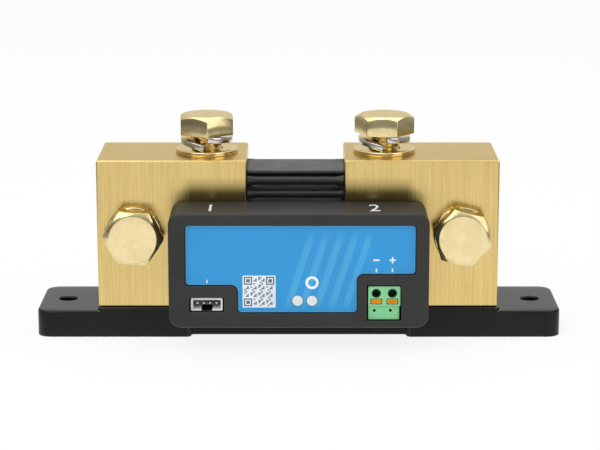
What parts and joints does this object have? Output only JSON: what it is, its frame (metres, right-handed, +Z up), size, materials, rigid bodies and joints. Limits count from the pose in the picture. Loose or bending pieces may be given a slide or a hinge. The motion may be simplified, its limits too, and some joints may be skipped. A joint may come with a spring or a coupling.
{
  "type": "battery monitor shunt",
  "caption": "High-current measuring shunt: two brass terminal blocks with hexagon bolts, joined by black resistance strips, on a moulded base with a meter box in front.",
  "frame": {"origin": "middle of the outer box, on the underside of the base", "axes": "+X along the base from the left block to the right one, +Y away from the meter box, +Z up"},
  "size_m": [0.17, 0.054, 0.0705],
  "materials": {
    "brass": "brushed, with faint oxide tone",
    "zinc_plate": "bright plated spring steel",
    "coated_strip": "thick glossy black coating over resistance alloy",
    "black_plastic": "satin moulded",
    "charcoal_plastic": "satin moulded, smoother on top",
    "label": "printed sheet, plain blue",
    "green_plastic": "satin moulded",
    "orange_plastic": "satin moulded",
    "pale_plastic": "satin moulded",
    "clear_plastic": "milky translucent",
    "board": "glass-fibre board with green resist",
    "chip": "moulded",
    "steel": "plated"
  },
  "bodies": {
    "root": {"terminal_block_left": "brass", "terminal_block_right": "brass", "sense_post_left": "brass", "sense_post_right": "brass", "resistor_strip_1": "coated_strip", "resistor_strip_2": "coated_strip", "resistor_strip_3": "coated_strip", "resistor_strip_4": "coated_strip", "resistor_strip_5": "coated_strip", "mounting_base": "black_plastic", "housing_shell": "charcoal_plastic", "back_cover": "charcoal_plastic", "front_label": "label", "wire_terminal": "green_plastic", "terminal_header": "green_plastic", "data_socket": "pale_plastic", "light_guide_1": "clear_plastic", "light_guide_2": "clear_plastic", "status_led_1": "clear_plastic", "status_led_2": "clear_plastic", "circuit_board": "board", "radio_module": "board", "processor_chip": "chip", "current_amplifier": "chip", "power_regulator": "chip", "base_screw_1": "steel", "base_screw_2": "steel", "base_screw_3": "steel", "base_screw_4": "steel", "sense_screw_left": "steel", "sense_screw_right": "steel", "data_pin_1": "steel", "data_pin_2": "steel", "data_pin_3": "steel", "data_pin_4": "steel", "clamp_spring_1": "steel", "clamp_spring_2": "steel", "terminal_pin_1": "steel", "terminal_pin_2": "steel", "radio_shield": "steel"},
    "washers_top_left": {"top_flat_washer_left": "brass", "top_spring_washer_left": "zinc_plate"},
    "bolt_top_left": {"top_bolt_left": "brass"},
    "washer_front_left": {"front_spring_washer_left": "brass"},
    "bolt_front_left": {"front_bolt_left": "brass"},
    "washers_top_right": {"top_flat_washer_right": "brass", "top_spring_washer_right": "zinc_plate"},
    "bolt_top_right": {"top_bolt_right": "brass"},
    "washer_front_right": {"front_spring_washer_right": "brass"},
    "bolt_front_right": {"front_bolt_right": "brass"},
    "lever_1": {"release_lever_1": "orange_plastic"},
    "lever_2": {"release_lever_2": "orange_plastic"}
  },
  "joints": [
    {"name": "top_left_lift", "type": "slide", "parent": "root", "child": "washers_top_left", "axis": [0, 0, 1], "range_m": [0, 0.01725]},
    {"name": "top_left_unscrew", "type": "hinge", "parent": "washers_top_left", "child": "bolt_top_left", "pos_m": [-0.03005, 0.0087, 0.0641], "axis": [0, 0, 1], "range_deg": [0, 4140]},
    {"name": "front_left_lift", "type": "slide", "parent": "root", "child": "washer_front_left", "axis": [0, -1, 0], "range_m": [0, 0.01725]},
    {"name": "front_left_unscrew", "type": "hinge", "parent": "washer_front_left", "child": "bolt_front_left", "pos_m": [-0.053, -0.00995, 0.034], "axis": [0, -1, 0], "range_deg": [0, 4140]},
    {"name": "top_right_lift", "type": "slide", "parent": "root", "child": "washers_top_right", "axis": [0, 0, 1], "range_m": [0, 0.01725]},
    {"name": "top_right_unscrew", "type": "hinge", "parent": "washers_top_right", "child": "bolt_top_right", "pos_m": [0.02795, 0.0087, 0.0641], "axis": [0, 0, 1], "range_deg": [0, 4140]},
    {"name": "front_right_lift", "type": "slide", "parent": "root", "child": "washer_front_right", "axis": [0, -1, 0], "range_m": [0, 0.01725]},
    {"name": "front_right_unscrew", "type": "hinge", "parent": "washer_front_right", "child": "bolt_front_right", "pos_m": [0.0524, -0.00995, 0.034], "axis": [0, -1, 0], "range_deg": [0, 4140]},
    {"name": "lever_1_press", "type": "slide", "parent": "root", "child": "lever_1", "axis": [0, 1, 0], "range_m": [0, 0.0018], "stiffness_N_per_m": 2500, "springref_m": -0.001},
    {"name": "lever_2_press", "type": "slide", "parent": "root", "child": "lever_2", "axis": [0, 1, 0], "range_m": [0, 0.0018], "stiffness_N_per_m": 2500, "springref_m": -0.001}
  ],
  "couplings": [
    {"joint": "top_left_unscrew", "follows": "top_left_lift", "rad_per_m": 4188.8},
    {"joint": "front_left_unscrew", "follows": "front_left_lift", "rad_per_m": 4188.8},
    {"joint": "top_right_unscrew", "follows": "top_right_lift", "rad_per_m": 4188.8},
    {"joint": "front_right_unscrew", "follows": "front_right_lift", "rad_per_m": 4188.8}
  ]
}
